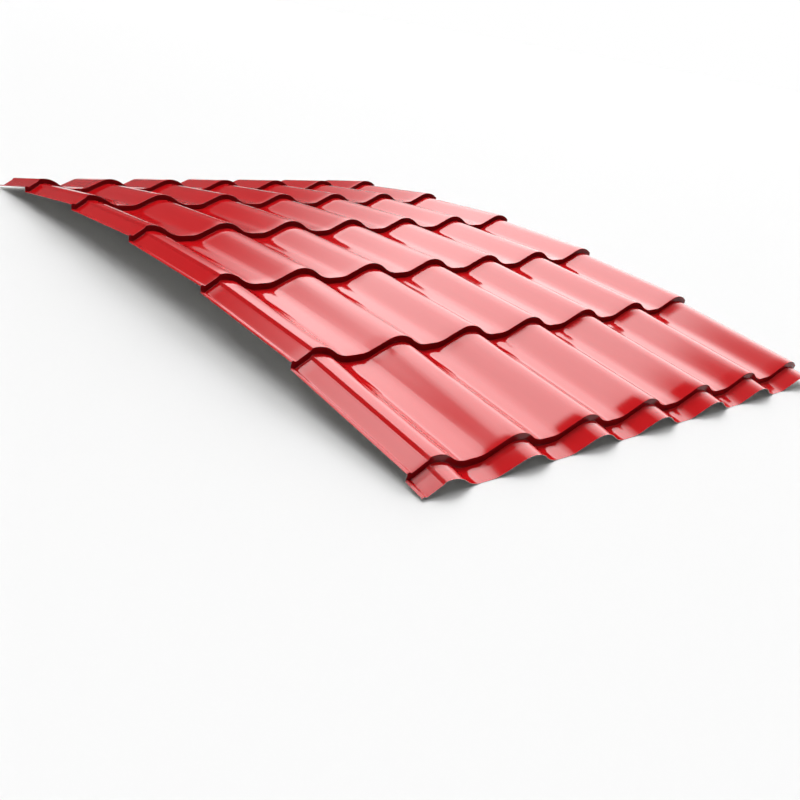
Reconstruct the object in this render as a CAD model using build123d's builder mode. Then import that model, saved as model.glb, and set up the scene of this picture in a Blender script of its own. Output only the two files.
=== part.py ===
from build123d import *
from math import asin, atan2, cos, degrees, radians, sin, sqrt
import os

# Stepped metal roof tile sheet, roll formed and stamped from one coil of coated steel.
# X runs across the waves, Y up the roof slope, Z up. Millimetres and degrees.
# The origin is on the floor, under the middle of the sheet's outline.

# Sheet metal
sheet_thickness = 0.5

# Waves across the sheet, measured on the painted face
cover_width = 1100.0
wave_count = 6
wave_height = 26.0
crest_radius = 60.0
valley_radius = 60.0
steep_straight = 3.0
gentle_straight = 42.0

# Tile rows along the sheet, each stamped step with a bevelled lip
row_length = 320.0
full_rows = 5
front_lip_length = 42.0
last_row_length = 215.0
step_height = 13.0
lip_bevel = 2.0
bow_per_row = 3.8

# Left side lap: a shoulder, a flat panel, and a drain groove with a turned lip
shoulder_start = 8.0
shoulder_angle = 46.0
shoulder_length = 6.0
panel_angle = 31.0
panel_length = 29.0
groove_rise_angle = 25.0
groove_rise_length = 3.5
lap_lip_angle = 35.0
fold_radius = 3.0
left_lap_width = 51.0

# Right side lap: the sheet ends part way down its last steep flank
right_lap_width = 38.0

# What closes the wave: the slope of each flank, and the width left for the valley floor
wave_pitch = cover_width / wave_count
radius_sum = crest_radius + valley_radius


def flank_angle(straight):
    """Slope of a flank whose straight stretch and two bends climb the wave height together."""
    reach = sqrt(radius_sum**2 + straight**2)
    return degrees(atan2(radius_sum, straight) - asin((radius_sum - wave_height) / reach))


steep_angle = flank_angle(steep_straight)
gentle_angle = flank_angle(gentle_straight)
arcs_width = radius_sum * (sin(radians(steep_angle)) + sin(radians(gentle_angle)))
flanks_width = steep_straight * cos(radians(steep_angle)) + gentle_straight * cos(radians(gentle_angle))
valley_floor = wave_pitch - arcs_width - flanks_width

# Working margins of the two blocks that the sheet is cut from
side_margin = 40.0
block_depth = wave_height + 30.0
core_extra_depth = 10.0
row_overlap = 6.0


def turned(angle):
    """Direction in the section plane, by its angle above +X."""
    return Vector(cos(radians(angle)), sin(radians(angle)))


def over_crest(start, climb, depth):
    """Over a crest and down its steep flank, into the valley."""
    crest = JernArc(start, turned(climb), crest_radius - depth, -climb - steep_angle)
    flank = Line(crest @ 1, crest @ 1 + turned(-steep_angle) * steep_straight)
    valley = JernArc(flank @ 1, turned(-steep_angle), valley_radius + depth, steep_angle)
    return valley @ 1


def through_valley(start, depth):
    """Along the valley floor and up the gentle flank, to where the next crest begins."""
    floor = Line(start, start + Vector(valley_floor, 0))
    valley = JernArc(floor @ 1, (1, 0), valley_radius + depth, gentle_angle)
    flank = Line(valley @ 1, valley @ 1 + turned(gentle_angle) * gentle_straight)
    return flank @ 1


def left_lap(start, depth):
    """From the first crest outward, down to the drain groove and its turned lip."""
    shoulder_bend = JernArc(
        start, turned(180 + shoulder_start), fold_radius - depth, shoulder_angle - shoulder_start
    )
    shoulder = Line(
        shoulder_bend @ 1, shoulder_bend @ 1 + turned(180 + shoulder_angle) * shoulder_length
    )
    panel_bend = JernArc(
        shoulder @ 1, turned(180 + shoulder_angle), fold_radius + depth, panel_angle - shoulder_angle
    )
    panel = Line(panel_bend @ 1, panel_bend @ 1 + turned(180 + panel_angle) * panel_length)
    groove = JernArc(
        panel @ 1, turned(180 + panel_angle), fold_radius + depth, -panel_angle - groove_rise_angle
    )
    groove_rise = Line(
        groove @ 1, groove @ 1 + turned(180 - groove_rise_angle) * groove_rise_length
    )
    ridge = JernArc(
        groove_rise @ 1,
        turned(180 - groove_rise_angle),
        fold_radius - depth,
        groove_rise_angle + lap_lip_angle,
    )
    lip = Line(ridge @ 1, ridge @ 1 + turned(180 + lap_lip_angle) * side_margin)
    return lip @ 1


def row_section(depth, block_floor):
    """Section of a tile row, filled under the painted face, or under the back face at that depth."""
    radius = crest_radius - depth
    first_crest = Vector(
        -radius * sin(radians(shoulder_start)), radius * cos(radians(shoulder_start)) - crest_radius
    )
    with BuildSketch(Plane.XZ) as section:
        with BuildLine():
            left_end = left_lap(first_crest, depth)
            point = first_crest
            climb = shoulder_start
            for _ in range(wave_count):
                floor_start = over_crest(point, climb, depth)
                point = through_valley(floor_start, depth)
                climb = gentle_angle
            right_end = over_crest(point, climb, depth)
            Polyline(right_end, (right_end.X, block_floor), (left_end.X, block_floor), left_end)
        make_face()
    return section.sketch


def tile_row(section, bevel):
    """One tile row as a block with its lip bevelled, long enough to be buried in the next row."""
    with BuildPart() as row:
        extrude(section, amount=-(row_length + row_overlap))
        front_face = row.faces().sort_by(Axis.Y)[0]
        rim = front_face.edges().sort_by(Axis.X)[1:-1].sort_by(Axis.Z)[1:]
        chamfer(rim, bevel)
    return row.part


def row_pitch(index):
    """Slope of a row above level, the bow turning each row further down."""
    return front_pitch - index * bow_per_row


def row_start(index, pitch_of):
    """Where a row's lip stands in the YZ plane: each riser is square to the row above it."""
    y, z = 0.0, 0.0
    for i in range(index):
        y += row_length * cos(radians(pitch_of(i))) - step_height * sin(radians(pitch_of(i + 1)))
        z += row_length * sin(radians(pitch_of(i))) + step_height * cos(radians(pitch_of(i + 1)))
    return y, z


# Rows in order: the front lip, the full rows, the last row
last_row = full_rows + 1
trimmed_front = row_length - front_lip_length


def underside(index, along, pitch_of):
    """Lowest line of a row's valleys, at a distance along the row."""
    y, z = row_start(index, pitch_of)
    pitch = radians(pitch_of(index))
    drop = wave_height + sheet_thickness
    return y + along * cos(pitch) + drop * sin(pitch), z + along * sin(pitch) - drop * cos(pitch)


# The bowed sheet stands on the lower edges of its two ends
def level_pitch(index):
    return -index * bow_per_row


front_y, front_z = underside(0, trimmed_front, level_pitch)
rear_y, rear_z = underside(last_row, last_row_length, level_pitch)
front_pitch = degrees(atan2(front_z - rear_z, rear_y - front_y))

front_y, floor_z = underside(0, trimmed_front, row_pitch)
rear_y, _ = underside(last_row, last_row_length, row_pitch)
middle_x = (cover_width + right_lap_width - left_lap_width) / 2


def row_plane(index, setback):
    """Plane of a row, its X across the sheet and its Y up the row."""
    y, z = row_start(index, row_pitch)
    pitch = radians(row_pitch(index))
    y += setback * cos(pitch)
    z += setback * sin(pitch)
    return Plane(
        origin=(-middle_x, y - (front_y + rear_y) / 2, z - floor_z),
        x_dir=(1, 0, 0),
        z_dir=(0, -sin(pitch), cos(pitch)),
    )


# Mould: everything under the painted face, sheared to the sheet's outline
with BuildSketch(Plane.XZ) as sheared_section:
    add(row_section(0, -block_depth))
    with Locations((middle_x, 0)):
        Rectangle(cover_width + left_lap_width + right_lap_width, 4 * block_depth, mode=Mode.INTERSECT)

with BuildPart() as mould:
    mould_row = tile_row(sheared_section.sketch, lip_bevel)
    with Locations(*[row_plane(index, 0) for index in range(last_row + 1)]):
        add(mould_row)
    front_cut = row_plane(0, trimmed_front)
    rear_cut = row_plane(last_row, last_row_length)
    split(bisect_by=Plane(front_cut.origin, z_dir=front_cut.y_dir), keep=Keep.TOP)
    split(bisect_by=Plane(rear_cut.origin, z_dir=rear_cut.y_dir), keep=Keep.BOTTOM)

# Core: everything under the back face, its bevel keeping the metal's thickness through the lip
with BuildPart() as core:
    core_section = row_section(sheet_thickness, -block_depth - core_extra_depth)
    core_row = tile_row(core_section, lip_bevel - (2 - sqrt(2)) * sheet_thickness)
    with Locations(*[row_plane(index, sheet_thickness) for index in range(last_row + 1)]):
        add(core_row)

with BuildPart() as roof_tile_sheet:
    add(mould.part)
    add(core.part, mode=Mode.SUBTRACT)

os.makedirs("parts", exist_ok=True)
roof_tile_sheet.part.label = "roof_tile_sheet"
export_step(roof_tile_sheet.part, "parts/roof_tile_sheet.step")
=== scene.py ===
from math import asin, atan2, cos, degrees, pi, radians, sin, sqrt

import bpy
import numpy as np
from mathutils import Matrix, Vector


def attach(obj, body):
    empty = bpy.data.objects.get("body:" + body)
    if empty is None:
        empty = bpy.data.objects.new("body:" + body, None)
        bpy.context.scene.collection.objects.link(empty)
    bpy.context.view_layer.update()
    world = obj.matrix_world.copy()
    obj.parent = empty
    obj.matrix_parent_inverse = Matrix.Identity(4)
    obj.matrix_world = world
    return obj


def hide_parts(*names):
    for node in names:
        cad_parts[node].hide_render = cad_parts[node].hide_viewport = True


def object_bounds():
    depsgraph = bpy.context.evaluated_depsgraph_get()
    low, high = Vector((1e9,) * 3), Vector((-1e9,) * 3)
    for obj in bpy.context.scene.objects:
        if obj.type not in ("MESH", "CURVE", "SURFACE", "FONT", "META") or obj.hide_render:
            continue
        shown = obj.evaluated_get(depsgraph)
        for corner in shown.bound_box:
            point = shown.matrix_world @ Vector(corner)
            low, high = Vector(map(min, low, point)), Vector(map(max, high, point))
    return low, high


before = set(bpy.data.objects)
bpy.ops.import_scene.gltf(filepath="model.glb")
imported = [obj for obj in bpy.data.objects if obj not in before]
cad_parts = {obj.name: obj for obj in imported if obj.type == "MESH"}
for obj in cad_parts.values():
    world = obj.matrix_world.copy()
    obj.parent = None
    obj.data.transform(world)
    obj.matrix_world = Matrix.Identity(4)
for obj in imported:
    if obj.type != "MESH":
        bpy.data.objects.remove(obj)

cad_low, cad_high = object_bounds()

# The sheet's own sizes, in metres and degrees
MM = 0.001
THICKNESS = 0.5 * MM
LIP_RADIUS = 1.0 * MM
FOOT_RADIUS = 1.0 * MM
COVER_WIDTH = 1100 * MM
WAVES = 6
WAVE_HEIGHT = 26 * MM
CREST_RADIUS = 60 * MM
VALLEY_RADIUS = 60 * MM
STEEP_STRAIGHT = 3 * MM
GENTLE_STRAIGHT = 42 * MM
ROW_LENGTH = 320 * MM
FULL_ROWS = 5
FRONT_LIP_LENGTH = 42 * MM
LAST_ROW_LENGTH = 215 * MM
STEP_HEIGHT = 13 * MM
BOW_PER_ROW = 3.8
SHOULDER_START = 8.0
SHOULDER_ANGLE = 46.0
SHOULDER_LENGTH = 6 * MM
PANEL_ANGLE = 31.0
PANEL_LENGTH = 29 * MM
GROOVE_RISE_ANGLE = 25.0
GROOVE_RISE_LENGTH = 3.5 * MM
LAP_LIP_ANGLE = 35.0
FOLD_RADIUS = 3 * MM
LEFT_LAP_WIDTH = 51 * MM
RIGHT_LAP_WIDTH = 38 * MM

# Angles at which the mesh has points round a lip and round a riser's foot, how many stretches each
# row's length has, and the angle from which an edge is drawn sharp
LIP_TURNS = (90, 72, 54, 36, 18, 0)
FOOT_TURNS = (30, 60, 90)
FRONT_ROW_STATIONS = 3
ROW_STATIONS = 10
SHARP_ANGLE = 40

WAVE_PITCH = COVER_WIDTH / WAVES
RADIUS_SUM = CREST_RADIUS + VALLEY_RADIUS


def flank_angle(straight):
    """Slope of a flank whose straight stretch and two bends climb the wave height together."""
    reach = sqrt(RADIUS_SUM**2 + straight**2)
    return degrees(atan2(RADIUS_SUM, straight) - asin((RADIUS_SUM - WAVE_HEIGHT) / reach))


STEEP_ANGLE = flank_angle(STEEP_STRAIGHT)
GENTLE_ANGLE = flank_angle(GENTLE_STRAIGHT)
ARCS_WIDTH = RADIUS_SUM * (sin(radians(STEEP_ANGLE)) + sin(radians(GENTLE_ANGLE)))
FLANKS_WIDTH = STEEP_STRAIGHT * cos(radians(STEEP_ANGLE)) + GENTLE_STRAIGHT * cos(radians(GENTLE_ANGLE))
VALLEY_FLOOR = WAVE_PITCH - ARCS_WIDTH - FLANKS_WIDTH
MIDDLE_X = (COVER_WIDTH + RIGHT_LAP_WIDTH - LEFT_LAP_WIDTH) / 2
LAST_ROW = FULL_ROWS + 1
TRIMMED_FRONT = ROW_LENGTH - FRONT_LIP_LENGTH


# Section across the waves
class Walk:
    """A walk along the painted face's section: points, and the face's upward normals.

    The parts of a line or an arc are the straight pieces that the mesh gives it.
    """

    def __init__(self, start, heading, side):
        self.point = np.array(start, float)
        self.heading = heading
        self.side = side
        self.points = [self.point.copy()]
        self.normals = [self.normal()]

    def direction(self):
        return np.array([cos(radians(self.heading)), sin(radians(self.heading))])

    def normal(self):
        ahead = self.direction()
        return self.side * np.array([-ahead[1], ahead[0]])

    def add(self):
        self.points.append(self.point.copy())
        self.normals.append(self.normal())

    def line(self, length, parts):
        for _ in range(parts):
            self.point = self.point + self.direction() * (length / parts)
            self.add()

    def arc(self, radius, turn, parts):
        """Turns by that many degrees, anticlockwise when turn is above 0."""
        swing = 1 if turn > 0 else -1
        for _ in range(parts):
            out = np.array([-sin(radians(self.heading)), cos(radians(self.heading))]) * swing
            centre = self.point + out * radius
            self.heading += turn / parts
            out = np.array([-sin(radians(self.heading)), cos(radians(self.heading))]) * swing
            self.point = centre - out * radius
            self.add()


def section():
    """Painted face from the left lap's edge to the right one: points (x, height) and normals."""
    top = SHOULDER_START
    first = (-CREST_RADIUS * sin(radians(top)), CREST_RADIUS * (cos(radians(top)) - 1))
    left = Walk(first, 180 + top, -1)
    left.arc(FOLD_RADIUS, SHOULDER_ANGLE - top, 5)
    left.line(SHOULDER_LENGTH, 2)
    left.arc(FOLD_RADIUS, PANEL_ANGLE - SHOULDER_ANGLE, 3)
    left.line(PANEL_LENGTH, 6)
    left.arc(FOLD_RADIUS, -PANEL_ANGLE - GROOVE_RISE_ANGLE, 6)
    left.line(GROOVE_RISE_LENGTH, 1)
    left.arc(FOLD_RADIUS, GROOVE_RISE_ANGLE + LAP_LIP_ANGLE, 6)
    left.line((left.point[0] + LEFT_LAP_WIDTH) / cos(radians(LAP_LIP_ANGLE)), 1)
    waves = Walk(first, top, 1)
    climb = top
    for _ in range(WAVES):
        waves.arc(CREST_RADIUS, -climb, 4)
        waves.arc(CREST_RADIUS, -STEEP_ANGLE, 6)
        waves.line(STEEP_STRAIGHT, 1)
        waves.arc(VALLEY_RADIUS, STEEP_ANGLE, 6)
        waves.line(VALLEY_FLOOR, 3)
        waves.arc(VALLEY_RADIUS, GENTLE_ANGLE, 5)
        waves.line(GENTLE_STRAIGHT, 3)
        climb = GENTLE_ANGLE
    waves.arc(CREST_RADIUS, -climb, 4)
    waves.arc(CREST_RADIUS, -STEEP_ANGLE, 6)
    waves.line((COVER_WIDTH + RIGHT_LAP_WIDTH - waves.point[0]) / cos(radians(STEEP_ANGLE)), 1)
    points = left.points[:0:-1] + waves.points
    normals = left.normals[:0:-1] + waves.normals
    return np.array(points), np.array(normals)


# Rows, bowed and stepped
def row_starts(front_pitch):
    starts = [np.array([0.0, 0.0])]
    for i in range(LAST_ROW):
        here = radians(front_pitch - i * BOW_PER_ROW)
        above = radians(front_pitch - (i + 1) * BOW_PER_ROW)
        along = np.array([cos(here), sin(here)]) * ROW_LENGTH
        starts.append(starts[-1] + along + np.array([-sin(above), cos(above)]) * STEP_HEIGHT)
    return starts


def underside(front_pitch, index, along):
    """Lowest line of a row's valleys at a distance along it, as (y, z)."""
    pitch = radians(front_pitch - index * BOW_PER_ROW)
    drop = WAVE_HEIGHT + THICKNESS
    ahead, up = np.array([cos(pitch), sin(pitch)]), np.array([-sin(pitch), cos(pitch)])
    return row_starts(front_pitch)[index] + along * ahead - drop * up


# The pitch at which the front and the rear edge both lie on the floor
front_end = underside(0, 0, TRIMMED_FRONT)
rear_end = underside(0, LAST_ROW, LAST_ROW_LENGTH)
FRONT_PITCH = degrees(atan2(front_end[1] - rear_end[1], rear_end[0] - front_end[0]))
front_end = underside(FRONT_PITCH, 0, TRIMMED_FRONT)
rear_end = underside(FRONT_PITCH, LAST_ROW, LAST_ROW_LENGTH)
middle_of_floor = np.array([(front_end[0] + rear_end[0]) / 2, front_end[1]])
ROW_STARTS = [start - middle_of_floor for start in row_starts(FRONT_PITCH)]


def row_axes(index):
    pitch = radians(FRONT_PITCH - index * BOW_PER_ROW)
    return np.array([cos(pitch), sin(pitch)]), np.array([-sin(pitch), cos(pitch)])


def placed(index, x, along, height):
    """Points across, along and above a row, in the part's frame, within the sides and the CAD's top."""
    x = np.clip(x, -LEFT_LAP_WIDTH, COVER_WIDTH + RIGHT_LAP_WIDTH)
    ahead, up = row_axes(index)
    y = ROW_STARTS[index][0] + along * ahead[0] + height * up[0]
    z = ROW_STARTS[index][1] + along * ahead[1] + height * up[1]
    return np.stack([x - MIDDLE_X, y, np.minimum(z, cad_high[2])], axis=-1)


def painted_face():
    """The painted face as a grid of points: one line across the sheet for each station along it."""
    points, normals = section()
    x, h, nx, nh = points[:, 0], points[:, 1], normals[:, 0], normals[:, 1]
    lines = []
    for index in range(LAST_ROW + 1):
        if index == 0:
            first = np.full_like(x, TRIMMED_FRONT)
        else:
            for turn in LIP_TURNS:
                t = radians(turn)
                reach = LIP_RADIUS * (1 - cos(t))
                lines.append(
                    placed(index, x - reach * nx, LIP_RADIUS * (1 - sin(t)) + 0 * x, h - reach * nh)
                )
            first = np.full_like(x, LIP_RADIUS)
        if index == LAST_ROW:
            end = np.full_like(x, LAST_ROW_LENGTH)
        else:
            ahead, up = row_axes(index)
            next_ahead = row_axes(index + 1)[0]
            gap = ROW_STARTS[index + 1] - ROW_STARTS[index]
            end = (gap @ next_ahead - h * (up @ next_ahead)) / (ahead @ next_ahead) - FOOT_RADIUS
        stations = FRONT_ROW_STATIONS if index == 0 else ROW_STATIONS
        for k in range(0 if index == 0 else 1, stations + 1):
            lines.append(placed(index, x, first + (end - first) * k / stations, h))
        if index < LAST_ROW:
            for turn in FOOT_TURNS:
                t = radians(turn)
                rise = FOOT_RADIUS * (1 - cos(t))
                lines.append(placed(index, x + rise * nx, end + FOOT_RADIUS * sin(t), h + rise * nh))
    return np.array(lines)


def grid_normals(grid):
    across = np.gradient(grid, axis=1)
    along = np.gradient(grid, axis=0)
    normals = np.cross(across, along)
    return normals / np.linalg.norm(normals, axis=2, keepdims=True)


def sheet_mesh():
    """Painted face, back face one thickness below it, and the four cut edges."""
    top = painted_face()
    back = top - THICKNESS * grid_normals(top)
    rows, columns = top.shape[:2]
    count = rows * columns
    ids = np.arange(count).reshape(rows, columns)
    a, b, c, d = ids[:-1, :-1], ids[:-1, 1:], ids[1:, 1:], ids[1:, :-1]
    upper = np.stack([a, b, c, d], axis=-1).reshape(-1, 4)
    lower = np.stack([a, d, c, b], axis=-1).reshape(-1, 4) + count
    loop = np.concatenate([ids[0, :-1], ids[:-1, -1], ids[-1, :0:-1], ids[:0:-1, 0]])
    after = np.roll(loop, -1)
    rim = np.stack([loop, loop + count, after + count, after], axis=-1)
    faces = np.concatenate([upper, lower, rim])
    mesh = bpy.data.meshes.new("roof_tile_sheet_skin")
    mesh.from_pydata(np.concatenate([top, back]).reshape(-1, 3).tolist(), [], faces.tolist())
    slots = np.concatenate([np.full(len(upper), 0), np.full(len(lower), 1), np.full(len(rim), 2)])
    mesh.polygons.foreach_set("material_index", slots)
    mesh.polygons.foreach_set("use_smooth", np.ones(len(faces), bool))
    mesh.update()
    mesh.set_sharp_from_angle(angle=radians(SHARP_ANGLE))
    return mesh


# Materials
def new_material(name):
    material = bpy.data.materials.new(name)
    material.use_nodes = True
    nodes = material.node_tree.nodes
    nodes.clear()
    output = nodes.new("ShaderNodeOutputMaterial")
    shader = nodes.new("ShaderNodeBsdfPrincipled")
    material.node_tree.links.new(shader.outputs["BSDF"], output.inputs["Surface"])
    return material, nodes, material.node_tree.links, shader


def noise(nodes, links, vector, scale, detail):
    node = nodes.new("ShaderNodeTexNoise")
    node.inputs["Scale"].default_value = scale
    node.inputs["Detail"].default_value = detail
    links.new(vector, node.inputs["Vector"])
    return node.outputs["Fac"]


def stretched(nodes, links, scale):
    """Object coordinates, scaled, so that a texture runs long along the roll direction."""
    coordinates = nodes.new("ShaderNodeTexCoord")
    mapping = nodes.new("ShaderNodeMapping")
    mapping.inputs["Scale"].default_value = scale
    links.new(coordinates.outputs["Object"], mapping.inputs["Vector"])
    return mapping.outputs["Vector"]


def ranged(nodes, links, value, low, high):
    node = nodes.new("ShaderNodeMapRange")
    node.inputs["To Min"].default_value = low
    node.inputs["To Max"].default_value = high
    links.new(value, node.inputs["Value"])
    return node.outputs["Result"]


def mixed(nodes, links, factor, first, second):
    node = nodes.new("ShaderNodeMix")
    node.data_type = "RGBA"
    node.inputs["A"].default_value = (*first, 1)
    node.inputs["B"].default_value = (*second, 1)
    links.new(factor, node.inputs["Factor"])
    return node.outputs["Result"]


STREAK_STRETCH = (60, 1.2, 60)
HAZE_STRETCH = (25, 2.5, 25)
BACK_STRETCH = (45, 1.5, 45)
NO_STRETCH = (1, 1, 1)
PANEL_REDS = ((0.64, 0.006, 0.009), (0.70, 0.009, 0.013))
# Painted shade: the risers get a darker red and a weaker reflection than the panels, for the shade that
# falls on them; the coat itself is the same red there
RISER_PAINTED_SHADE_REDS = ((0.20, 0.003, 0.006), (0.28, 0.005, 0.009))
PANEL_SHINE = 0.5
RISER_PAINTED_SHADE_SHINE = 0.15
# How far a face's normal points to the front, as its Y, where the risers' painted shade starts and is full
RISER_STARTS = -0.45
RISER_FULL = -0.85
COAT_ROUGHNESS = (0.06, 0.10)
COAT_IOR = 1.5
PEEL_SCALE = 900
PEEL_STRENGTH = 0.02
PEEL_DEPTH = 0.5 * MM
BACK_GREYS = ((0.36, 0.35, 0.32), (0.45, 0.44, 0.41))
BACK_ROUGHNESS = (0.38, 0.55)
GRAIN_SCALE = 1500
STEEL_GREYS = ((0.42, 0.40, 0.39), (0.62, 0.61, 0.60))
STEEL_ROUGHNESS = (0.30, 0.50)


def painted_shade_mask(nodes, links):
    """1 on the stamped risers, which face the front, and 0 on the panels: where the painted shade goes."""
    geometry = nodes.new("ShaderNodeNewGeometry")
    parts = nodes.new("ShaderNodeSeparateXYZ")
    links.new(geometry.outputs["Normal"], parts.inputs["Vector"])
    facing = nodes.new("ShaderNodeMapRange")
    facing.inputs["From Min"].default_value = RISER_STARTS
    facing.inputs["From Max"].default_value = RISER_FULL
    links.new(parts.outputs["Y"], facing.inputs["Value"])
    return facing.outputs["Result"]


def painted_material():
    """Glossy red coil coating, with faint roll streaks, and painted shade on the risers: a darker red and
    weaker reflections.
    """
    material, nodes, links, shader = new_material("red_coated_steel")
    streaks = noise(nodes, links, stretched(nodes, links, STREAK_STRETCH), 1.0, 3)
    shade = nodes.new("ShaderNodeMix")
    shade.data_type = "RGBA"
    # Painted shade: on the risers the colour turns darker and the reflection weaker
    riser = painted_shade_mask(nodes, links)
    links.new(riser, shade.inputs["Factor"])
    links.new(ranged(nodes, links, riser, PANEL_SHINE, RISER_PAINTED_SHADE_SHINE), shader.inputs["Specular IOR Level"])
    links.new(mixed(nodes, links, streaks, *PANEL_REDS), shade.inputs["A"])
    links.new(mixed(nodes, links, streaks, *RISER_PAINTED_SHADE_REDS), shade.inputs["B"])
    links.new(shade.outputs["Result"], shader.inputs["Base Color"])
    haze = noise(nodes, links, stretched(nodes, links, HAZE_STRETCH), 1.0, 4)
    links.new(ranged(nodes, links, haze, *COAT_ROUGHNESS), shader.inputs["Roughness"])
    shader.inputs["IOR"].default_value = COAT_IOR
    peel = noise(nodes, links, stretched(nodes, links, NO_STRETCH), PEEL_SCALE, 2)
    bump = nodes.new("ShaderNodeBump")
    bump.inputs["Strength"].default_value = PEEL_STRENGTH
    bump.inputs["Distance"].default_value = PEEL_DEPTH
    links.new(peel, bump.inputs["Height"])
    links.new(bump.outputs["Normal"], shader.inputs["Normal"])
    return material


def back_material():
    """Thin matt grey beige back coat."""
    material, nodes, links, shader = new_material("grey_back_coat")
    streaks = noise(nodes, links, stretched(nodes, links, BACK_STRETCH), 1.0, 4)
    colour = mixed(nodes, links, streaks, *BACK_GREYS)
    links.new(colour, shader.inputs["Base Color"])
    links.new(ranged(nodes, links, streaks, *BACK_ROUGHNESS), shader.inputs["Roughness"])
    return material


def edge_material():
    """Sheared edge: bare steel between its zinc layers."""
    material, nodes, links, shader = new_material("sheared_steel_edge")
    grain = noise(nodes, links, stretched(nodes, links, NO_STRETCH), GRAIN_SCALE, 3)
    colour = mixed(nodes, links, grain, *STEEL_GREYS)
    links.new(colour, shader.inputs["Base Color"])
    shader.inputs["Metallic"].default_value = 1.0
    links.new(ranged(nodes, links, grain, *STEEL_ROUGHNESS), shader.inputs["Roughness"])
    return material


sheet = bpy.data.objects.new("pressed_sheet", sheet_mesh())
bpy.context.scene.collection.objects.link(sheet)
for material in (painted_material(), back_material(), edge_material()):
    sheet.data.materials.append(material)
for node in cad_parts.values():
    node.data.materials.clear()
    node.data.materials.append(sheet.data.materials[0])
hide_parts("roof_tile_sheet")
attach(sheet, "root")


# Studio: one big soft box overhead, behind the sheet, and a small one above it to the left, in a
# dim grey room. The big one's edges are planes through the sheet, given by their normals. It fades
# towards the horizon and has a dim gap down its left part.
BOX_NEAR_EDGE = (0.0, 1.0, -0.36)
BOX_FAR_EDGE = (1.0, -1.0, 1.05)
BOX_GLOW = 4.95
BOX_HORIZON_GLOW = 0.35
ROOM_GLOW = 0.14
FRONT_ROOM_GLOW = 0.06
# Elevations over which the big box brightens upwards
BOX_FADE = (-22, 56)
# Its right part is a little dimmer, and brighter again low down: azimuths and elevations in degrees
RIGHT_DIMMING = 0.12
RIGHT_DIM_AZIMUTHS = (36, 54)
LOW_BRIGHTENING = 0.35
LOW_AZIMUTHS = (44, 52)
LOW_ELEVATIONS = (12, 28)
# The gap leans to the right and deepens with elevation
BOX_GAP_WIDTH = 3.6
GAP_AZIMUTH = 10
GAP_LEAN = 0.33
GAP_LEAN_START = 44
GAP_LEAN_SPAN = 30
GAP_DEPTH = 0.42
GAP_DEEPENING = 0.40
GAP_DEEPENS = (54, 62)
# Softness of the edges, in degrees
NEAR_SOFTNESS = 2
NEAR_SOFTENING = 12
NEAR_SOFTENS = (45, 70)
FAR_SOFTNESS = 9
SIDE_FADE = (75, 100)
FRONT_ROOM_AZIMUTHS = (90, 130)
# The small box, the dome that carries both, and the dome's lowest elevation
TOP_BOX_SOFTNESS = 2
TOP_BOX_AIM = (-0.31, 0.0, 0.95)
TOP_BOX_REACH = 20.5
TOP_BOX_GLOW = 2.6
STUDIO_RADIUS = 400.0
STUDIO_LOWEST = -12
DOME_TURN_STEP = 2
DOME_LIFT_STEP = 1


def smooth_step(low, high, value):
    t = np.clip((value - low) / (high - low), 0, 1)
    return t * t * (3 - 2 * t)


def angle_inside(directions, edge):
    """How many degrees each direction lies inside an edge plane."""
    normal = np.array(edge) / np.linalg.norm(edge)
    return np.degrees(np.arcsin(np.clip(directions @ normal, -1, 1)))


def studio_glow(directions):
    """Radiance of the studio in each direction."""
    azimuth = np.degrees(np.arctan2(directions[:, 0], directions[:, 1]))
    elevation = np.degrees(np.arcsin(np.clip(directions[:, 2], -1, 1)))
    glow = BOX_HORIZON_GLOW + (BOX_GLOW - BOX_HORIZON_GLOW) * smooth_step(*BOX_FADE, elevation)
    glow = glow * (1 - RIGHT_DIMMING * smooth_step(*RIGHT_DIM_AZIMUTHS, azimuth))
    low = smooth_step(*LOW_AZIMUTHS, azimuth) * (1 - smooth_step(*LOW_ELEVATIONS, elevation))
    glow = glow * (1 + LOW_BRIGHTENING * low)
    gap_place = GAP_AZIMUTH + GAP_LEAN * np.clip(elevation - GAP_LEAN_START, 0, GAP_LEAN_SPAN)
    gap_depth = GAP_DEPTH + GAP_DEEPENING * smooth_step(*GAP_DEEPENS, elevation)
    glow = glow * (1 - gap_depth * np.exp(-(((azimuth - gap_place) / BOX_GAP_WIDTH) ** 2)))
    softness = NEAR_SOFTNESS + NEAR_SOFTENING * smooth_step(*NEAR_SOFTENS, azimuth)
    near = smooth_step(-softness, softness, angle_inside(directions, BOX_NEAR_EDGE))
    far = smooth_step(-FAR_SOFTNESS, FAR_SOFTNESS, angle_inside(directions, BOX_FAR_EDGE))
    sides = 1 - smooth_step(*SIDE_FADE, np.abs(azimuth))
    room = ROOM_GLOW + (FRONT_ROOM_GLOW - ROOM_GLOW) * smooth_step(*FRONT_ROOM_AZIMUTHS, np.abs(azimuth))
    from_top = 90 - angle_inside(directions, TOP_BOX_AIM)
    top_edge = (TOP_BOX_REACH - TOP_BOX_SOFTNESS, TOP_BOX_REACH + TOP_BOX_SOFTNESS)
    top = TOP_BOX_GLOW * (1 - smooth_step(*top_edge, from_top))
    return np.maximum(room + (glow - room) * near * far * sides, top)


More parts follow.
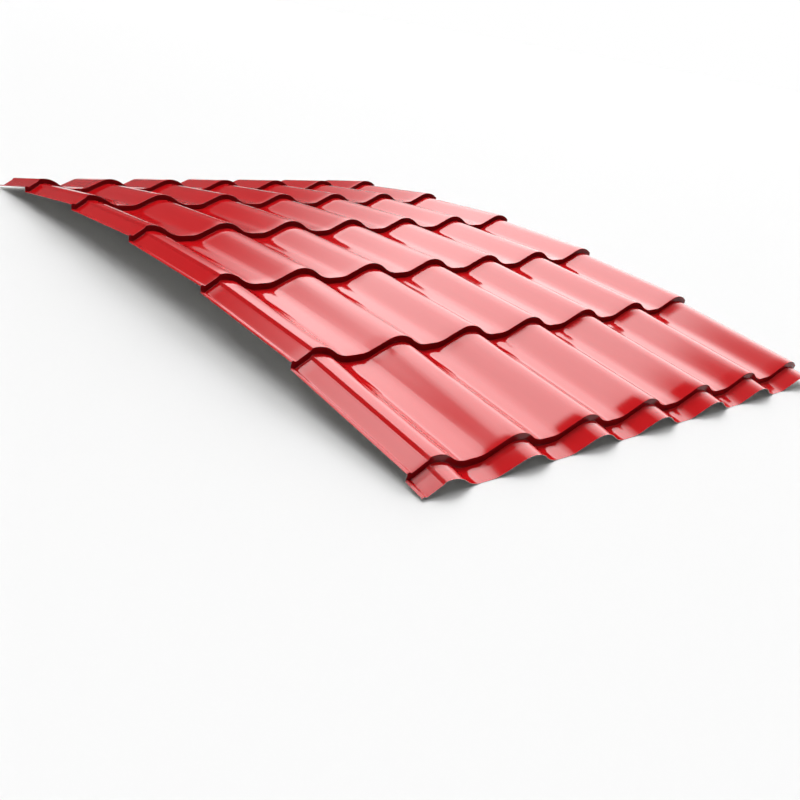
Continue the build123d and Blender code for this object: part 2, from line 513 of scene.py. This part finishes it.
def studio():
    """A far dome that lights the sheet. The camera doesn't see it, only the white behind it."""
    azimuths = np.radians(np.arange(0, 360, DOME_TURN_STEP))
    elevations = np.radians(np.arange(STUDIO_LOWEST, 90 + DOME_LIFT_STEP, DOME_LIFT_STEP))
    turn, lift = np.meshgrid(azimuths, elevations)
    directions = np.stack([np.sin(turn) * np.cos(lift), np.cos(turn) * np.cos(lift), np.sin(lift)], axis=-1)
    directions = directions.reshape(-1, 3)
    verts = (directions * STUDIO_RADIUS).tolist()
    glow = studio_glow(directions)
    n = len(azimuths)
    faces = [
        (r * n + k, r * n + (k + 1) % n, (r + 1) * n + (k + 1) % n, (r + 1) * n + k)
        for r in range(len(elevations) - 1)
        for k in range(n)
    ]
    mesh = bpy.data.meshes.new("studio_dome")
    mesh.from_pydata(verts, [], faces)
    mesh.attributes.new("glow", "FLOAT", "POINT").data.foreach_set("value", glow)
    material = bpy.data.materials.new("studio_glow")
    material.use_nodes = True
    nodes, links = material.node_tree.nodes, material.node_tree.links
    nodes.clear()
    output = nodes.new("ShaderNodeOutputMaterial")
    emission = nodes.new("ShaderNodeEmission")
    attribute = nodes.new("ShaderNodeAttribute")
    attribute.attribute_name = "glow"
    links.new(attribute.outputs["Fac"], emission.inputs["Strength"])
    links.new(emission.outputs["Emission"], output.inputs["Surface"])
    # The sheet's rays find the dome by themselves, and without sampling it as a lamp they are faster
    material.cycles.emission_sampling = "NONE"
    mesh.materials.append(material)
    dome = bpy.data.objects.new("studio_dome", mesh)
    bpy.context.scene.collection.objects.link(dome)
    dome.visible_camera = False


# Floor: how much it shines by itself to the camera, its size, and how far it lies below the sheet
FLOOR_LIFT = 0.03
FLOOR_REACH = 39.0
FLOOR_SIDES = 96
FLOOR_DROP = 0.0002
FLOOR_WHITE = (0.86, 0.86, 0.86, 1)
FLOOR_ROUGHNESS = 0.9
FLOOR_SHINE = 0.1


def floor():
    """Pale floor. Its shadows stay, and where it is lit it matches the white background."""
    mesh = bpy.data.meshes.new("floor")
    turns = [2 * pi * k / FLOOR_SIDES for k in range(FLOOR_SIDES)]
    rim = [(FLOOR_REACH * cos(turn), FLOOR_REACH * sin(turn), -FLOOR_DROP) for turn in turns]
    mesh.from_pydata(rim, [], [tuple(range(FLOOR_SIDES))])
    material, nodes, links, shader = new_material("pale_floor")
    shader.inputs["Base Color"].default_value = FLOOR_WHITE
    shader.inputs["Roughness"].default_value = FLOOR_ROUGHNESS
    shader.inputs["Specular IOR Level"].default_value = FLOOR_SHINE
    shader.inputs["Emission Color"].default_value = (1, 1, 1, 1)
    path = nodes.new("ShaderNodeLightPath")
    seen = path.outputs["Is Camera Ray"]
    for ray in ("Is Glossy Ray", "Is Transmission Ray"):
        either = nodes.new("ShaderNodeMath")
        either.operation = "MAXIMUM"
        links.new(seen, either.inputs[0])
        links.new(path.outputs[ray], either.inputs[1])
        seen = either.outputs["Value"]
    lift = nodes.new("ShaderNodeMath")
    lift.operation = "MULTIPLY"
    lift.inputs[1].default_value = FLOOR_LIFT
    links.new(seen, lift.inputs[0])
    links.new(lift.outputs["Value"], shader.inputs["Emission Strength"])
    mesh.materials.append(material)
    ground = bpy.data.objects.new("floor", mesh)
    bpy.context.scene.collection.objects.link(ground)


studio()
floor()
world = bpy.data.worlds.new("white")
world.use_nodes = True
world.node_tree.nodes["Background"].inputs["Color"].default_value = (1, 1, 1, 1)
world.node_tree.nodes["Background"].inputs["Strength"].default_value = 1.0
bpy.context.scene.world = world

# Camera at the photograph's viewing angle
CAMERA_PLACE = Vector((-1.39374, -1.67174, 0.63751))
CAMERA_RIGHT = Vector((0.758651, -0.632386, 0.156641))
CAMERA_DOWN = Vector((-0.152827, -0.406467, -0.900793))
CAMERA_LENS = 39.417
CAMERA_SENSOR = 36
CAMERA_CLIP_END = 200
camera_data = bpy.data.cameras.new("camera")
camera_data.sensor_width = CAMERA_SENSOR
camera_data.lens = CAMERA_LENS
camera_data.clip_end = CAMERA_CLIP_END
camera = bpy.data.objects.new("camera", camera_data)
right = CAMERA_RIGHT.normalized()
up = -CAMERA_DOWN.normalized()
backward = right.cross(up)
turn = Matrix((right, up, backward)).transposed()
camera.matrix_world = Matrix.Translation(CAMERA_PLACE) @ turn.to_4x4()
bpy.context.scene.collection.objects.link(camera)
bpy.context.scene.camera = camera

bpy.context.scene.view_settings.view_transform = "Standard"
